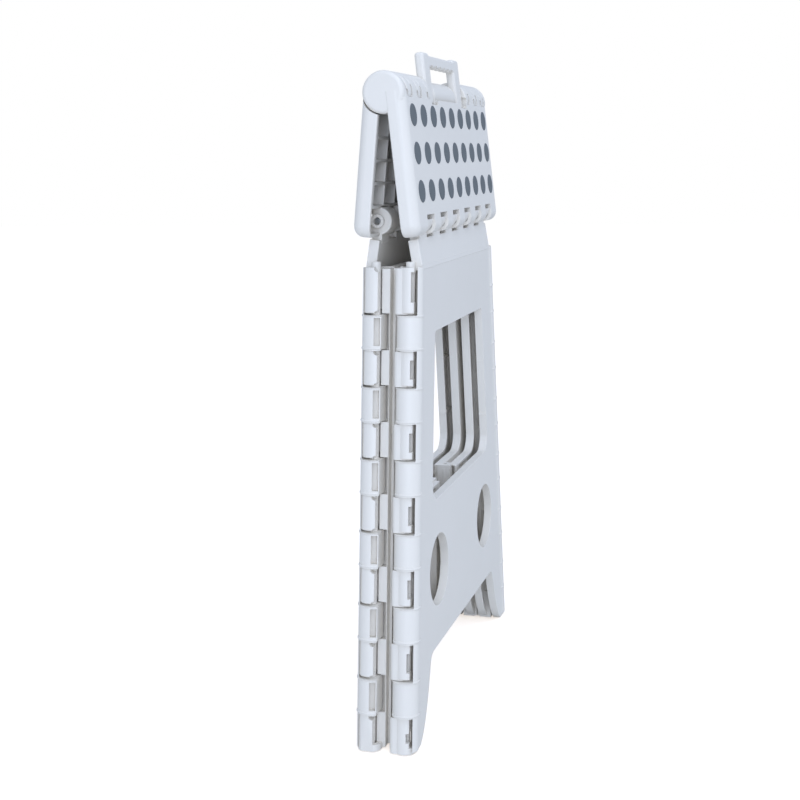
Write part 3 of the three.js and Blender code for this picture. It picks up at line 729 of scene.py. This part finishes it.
def grip_inlay(front):
    """Round studs joined under the skin by flat runners."""
    under = DECK_FACE - DECK_SKIN - 0.3
    reach = 4 * DOT_PITCH + 4
    inlay = None
    for row, s in enumerate(DOT_ROWS):
        spans = [(-reach, -80), (80, reach)] if row == 0 and not front else [(-reach, reach)]
        for span in spans:
            runner = deck_block(span, (s - 4, s + 4), (under - 1.8, under), 0.4)
            inlay = add(inlay, runner) if inlay else runner
    for x in ((0,) if front else (-4 * DOT_PITCH, 4 * DOT_PITCH)):
        add(inlay, deck_block((x - 4, x + 4), (DOT_ROWS[0], DOT_ROWS[2]), (under - 1.8, under)))
    for x, s in dot_places(front):
        add(inlay, rod((x, -(under - 1), -s), (x, -(DECK_FACE + DOT_PROUD), -s), DOT_R, 0.35, 48))
    return lean(inlay)


def carry_handle():
    top = HANDLE_RISE
    inner = HANDLE_HALF - HANDLE_LEG
    n = (HANDLE_REAR, HANDLE_FRONT)
    handle = deck_block((-HANDLE_HALF + 4, HANDLE_HALF - 4), (-top + 1.8, -top + HANDLE_GRIP), n, 2.4, 5)
    for side in (-1, 1):
        x = (side * inner, side * HANDLE_HALF)
        add(handle, deck_block(x, (-top, HANDLE_SEAT), n, 2.6, 5),
            deck_block(x, (-6, 6), (-6, HANDLE_FRONT - 0.4), 2.0, 4))
    pitch = 2 * inner / 6
    for i in range(6):
        x = (i - 2.5) * pitch
        z = top - HANDLE_GRIP - 4.2
        cut(handle, rod((x, 0, z), (x, -20, z), 6.4, 0, 48))
    return lean(cut(handle, deck_rod((-60, 60), 0, 0, 3.1, 0, 32)))


# ---- Build the pieces ----


def front_and_rear(piece, part, node_of, material):
    rear = half_turn(piece)
    for copy, end in ((piece, "front"), (rear, "back")):
        place_piece(copy, f"{end}_{part}_shape", f"{end}_{node_of[0]}", f"{end}_{node_of[1]}", material)


def pin(name, body, start, end, radius):
    place_piece(rod(start, end, radius, 0.4, 40), f"{name}_wire", body, name, STEEL)


front_and_rear(leg(), "leg", ("leg", "leg"), WHITE)

for side, even, front_hand, rear_hand in ((-1, True, "left", "right"), (1, False, "right", "left")):
    panel = side_panel(side, even)
    rear_panel = half_turn(panel)
    place_piece(panel, f"front_{front_hand}_side_shape", f"front_{front_hand}_side",
                f"front_{front_hand}_side", WHITE)
    place_piece(rear_panel, f"back_{rear_hand}_side_shape", f"back_{rear_hand}_side",
                f"back_{rear_hand}_side", WHITE)
    x = side * column_x(0)
    pad = rod((x, COLUMN_Y, 0), (x, COLUMN_Y, PAD_TALL), PAD_R, 0.6, 48)
    rear_pad = half_turn(pad)
    place_piece(pad, f"front_{front_hand}_pad_shape", f"front_{front_hand}_side",
                f"front_{front_hand}_foot_pad", FOOT_RUBBER)
    place_piece(rear_pad, f"back_{rear_hand}_pad_shape", f"back_{rear_hand}_side",
                f"back_{rear_hand}_foot_pad", FOOT_RUBBER)

for end, front in (("front", True), ("back", False)):
    turn = (lambda piece: piece) if front else half_turn
    for made, part, slot, material in ((deck_half(front), "top", "white_shell", WHITE),
                                       (grip_inlay(front), "grip_inlay", "grip_rubber", DOT_RUBBER)):
        piece = turn(made)
        if piece is not made:
            bpy.data.objects.remove(made)
        place_piece(piece, f"{end}_{part}_shape", f"{end}_top", f"{end}_{part}", material)

place_piece(carry_handle(), "carry_handle_shape", "front_top", "carry_handle", WHITE)

for end, sign in (("front", 1), ("back", -1)):
    pin(f"{end}_leg_hinge_pin", f"{end}_leg", (1.5 - BOSS_END, sign * HINGE_Y, HINGE_Z),
        (BOSS_END - 1.5, sign * HINGE_Y, HINGE_Z), 2.2)
pin("centre_hinge_pin", "front_top", (4 - DECK_HALF, 0, CENTRE_Z), (DECK_HALF - 4, 0, CENTRE_Z), 2.4)
for hand, side, body in (("left", -1, "front_left_side"), ("right", 1, "back_right_side")):
    for height, cuts in zip(("lower", "upper"), FOLD_GROUPS):
        pin(f"{hand}_{height}_fold_pin", body, on_fold(side, cuts[0] + 2), on_fold(side, cuts[-1] - 2), 1.5)

# ---- Studio ----


def floor():
    """A pale floor that fades into the white backdrop and keeps a faint shadow under the feet."""
    bpy.ops.object.select_all(action="DESELECT")
    bpy.ops.mesh.primitive_grid_add(x_subdivisions=2, y_subdivisions=2, size=14.0)
    ground = bpy.context.object
    ground.name = "studio_floor"
    material = bpy.data.materials.new("studio_floor_paint")
    material.use_nodes = True
    tree = material.node_tree
    shader = tree.nodes["Principled BSDF"]
    shader.inputs["Base Color"].default_value = linear("#E4E2DE")
    shader.inputs["Roughness"].default_value = 0.9
    shader.inputs["Emission Color"].default_value = (0.62, 0.56, 0.5, 1)
    seen = add_node(tree, "ShaderNodeLightPath").outputs["Is Camera Ray"]
    tree.links.new(seen, shader.inputs["Emission Strength"])
    ground.data.materials.append(material)


def soft_light(name, place, target, size, power, colour):
    data = bpy.data.lights.new(name, "AREA")
    data.shape = "RECTANGLE"
    data.size, data.size_y = size
    data.energy = power
    data.color = colour
    lamp = bpy.data.objects.new(name, data)
    bpy.context.scene.collection.objects.link(lamp)
    lamp.location = place
    lamp.rotation_euler = (Vector(target) - Vector(place)).to_track_quat("-Z", "Y").to_euler()


def camera():
    data = bpy.data.cameras.new("camera")
    data.lens = 58.64
    data.sensor_width = 36.0
    data.shift_x = -0.0003
    data.shift_y = -0.1844
    data.clip_start, data.clip_end = 0.01, 100
    rig = bpy.data.objects.new("camera", data)
    bpy.context.scene.collection.objects.link(rig)
    azimuth, pitch, roll = (math.radians(value) for value in (-73.259, 4.176, -1.078))
    flat = Vector((-math.sin(azimuth), math.cos(azimuth), 0))
    forward = flat * math.cos(pitch) - Vector((0, 0, 1)) * math.sin(pitch)
    tilt = Matrix.Rotation(roll, 3, "Z").to_quaternion()
    rig.rotation_euler = (forward.to_track_quat("-Z", "Y") @ tilt).to_euler()
    rig.location = (-1.04577, -0.28589, 0.43877)
    bpy.context.scene.camera = rig


def world():
    """A cool soft surround for lighting the stool, seen by the camera as a white backdrop."""
    bright = bpy.data.worlds.new("studio")
    bpy.context.scene.world = bright
    bright.use_nodes = True
    tree = bright.node_tree
    surround = tree.nodes["Background"]
    surround.inputs["Color"].default_value = (0.73, 0.84, 1.05, 1)
    surround.inputs["Strength"].default_value = 0.72
    backdrop = add_node(tree, "ShaderNodeBackground", Color=(1, 1, 1, 1), Strength=1.0)
    seen = add_node(tree, "ShaderNodeLightPath").outputs["Is Camera Ray"]
    choice = add_node(tree, "ShaderNodeMixShader")
    tree.links.new(seen, choice.inputs[0])
    tree.links.new(surround.outputs[0], choice.inputs[1])
    tree.links.new(backdrop.outputs[0], choice.inputs[2])
    tree.links.new(choice.outputs[0], tree.nodes["World Output"].inputs["Surface"])


floor()
camera()
world()
COOL = (0.72, 0.81, 1.0)
soft_light("key_from_the_end", (-2.5, -0.6, 0.95), (0, 0, 0.3), (1.5, 1.5), 28, COOL)
soft_light("fill_from_above", (-0.6, -1.5, 2.6), (0, 0, 0.45), (1.8, 1.8), 28, COOL)
bpy.context.scene.view_settings.view_transform = "Standard"
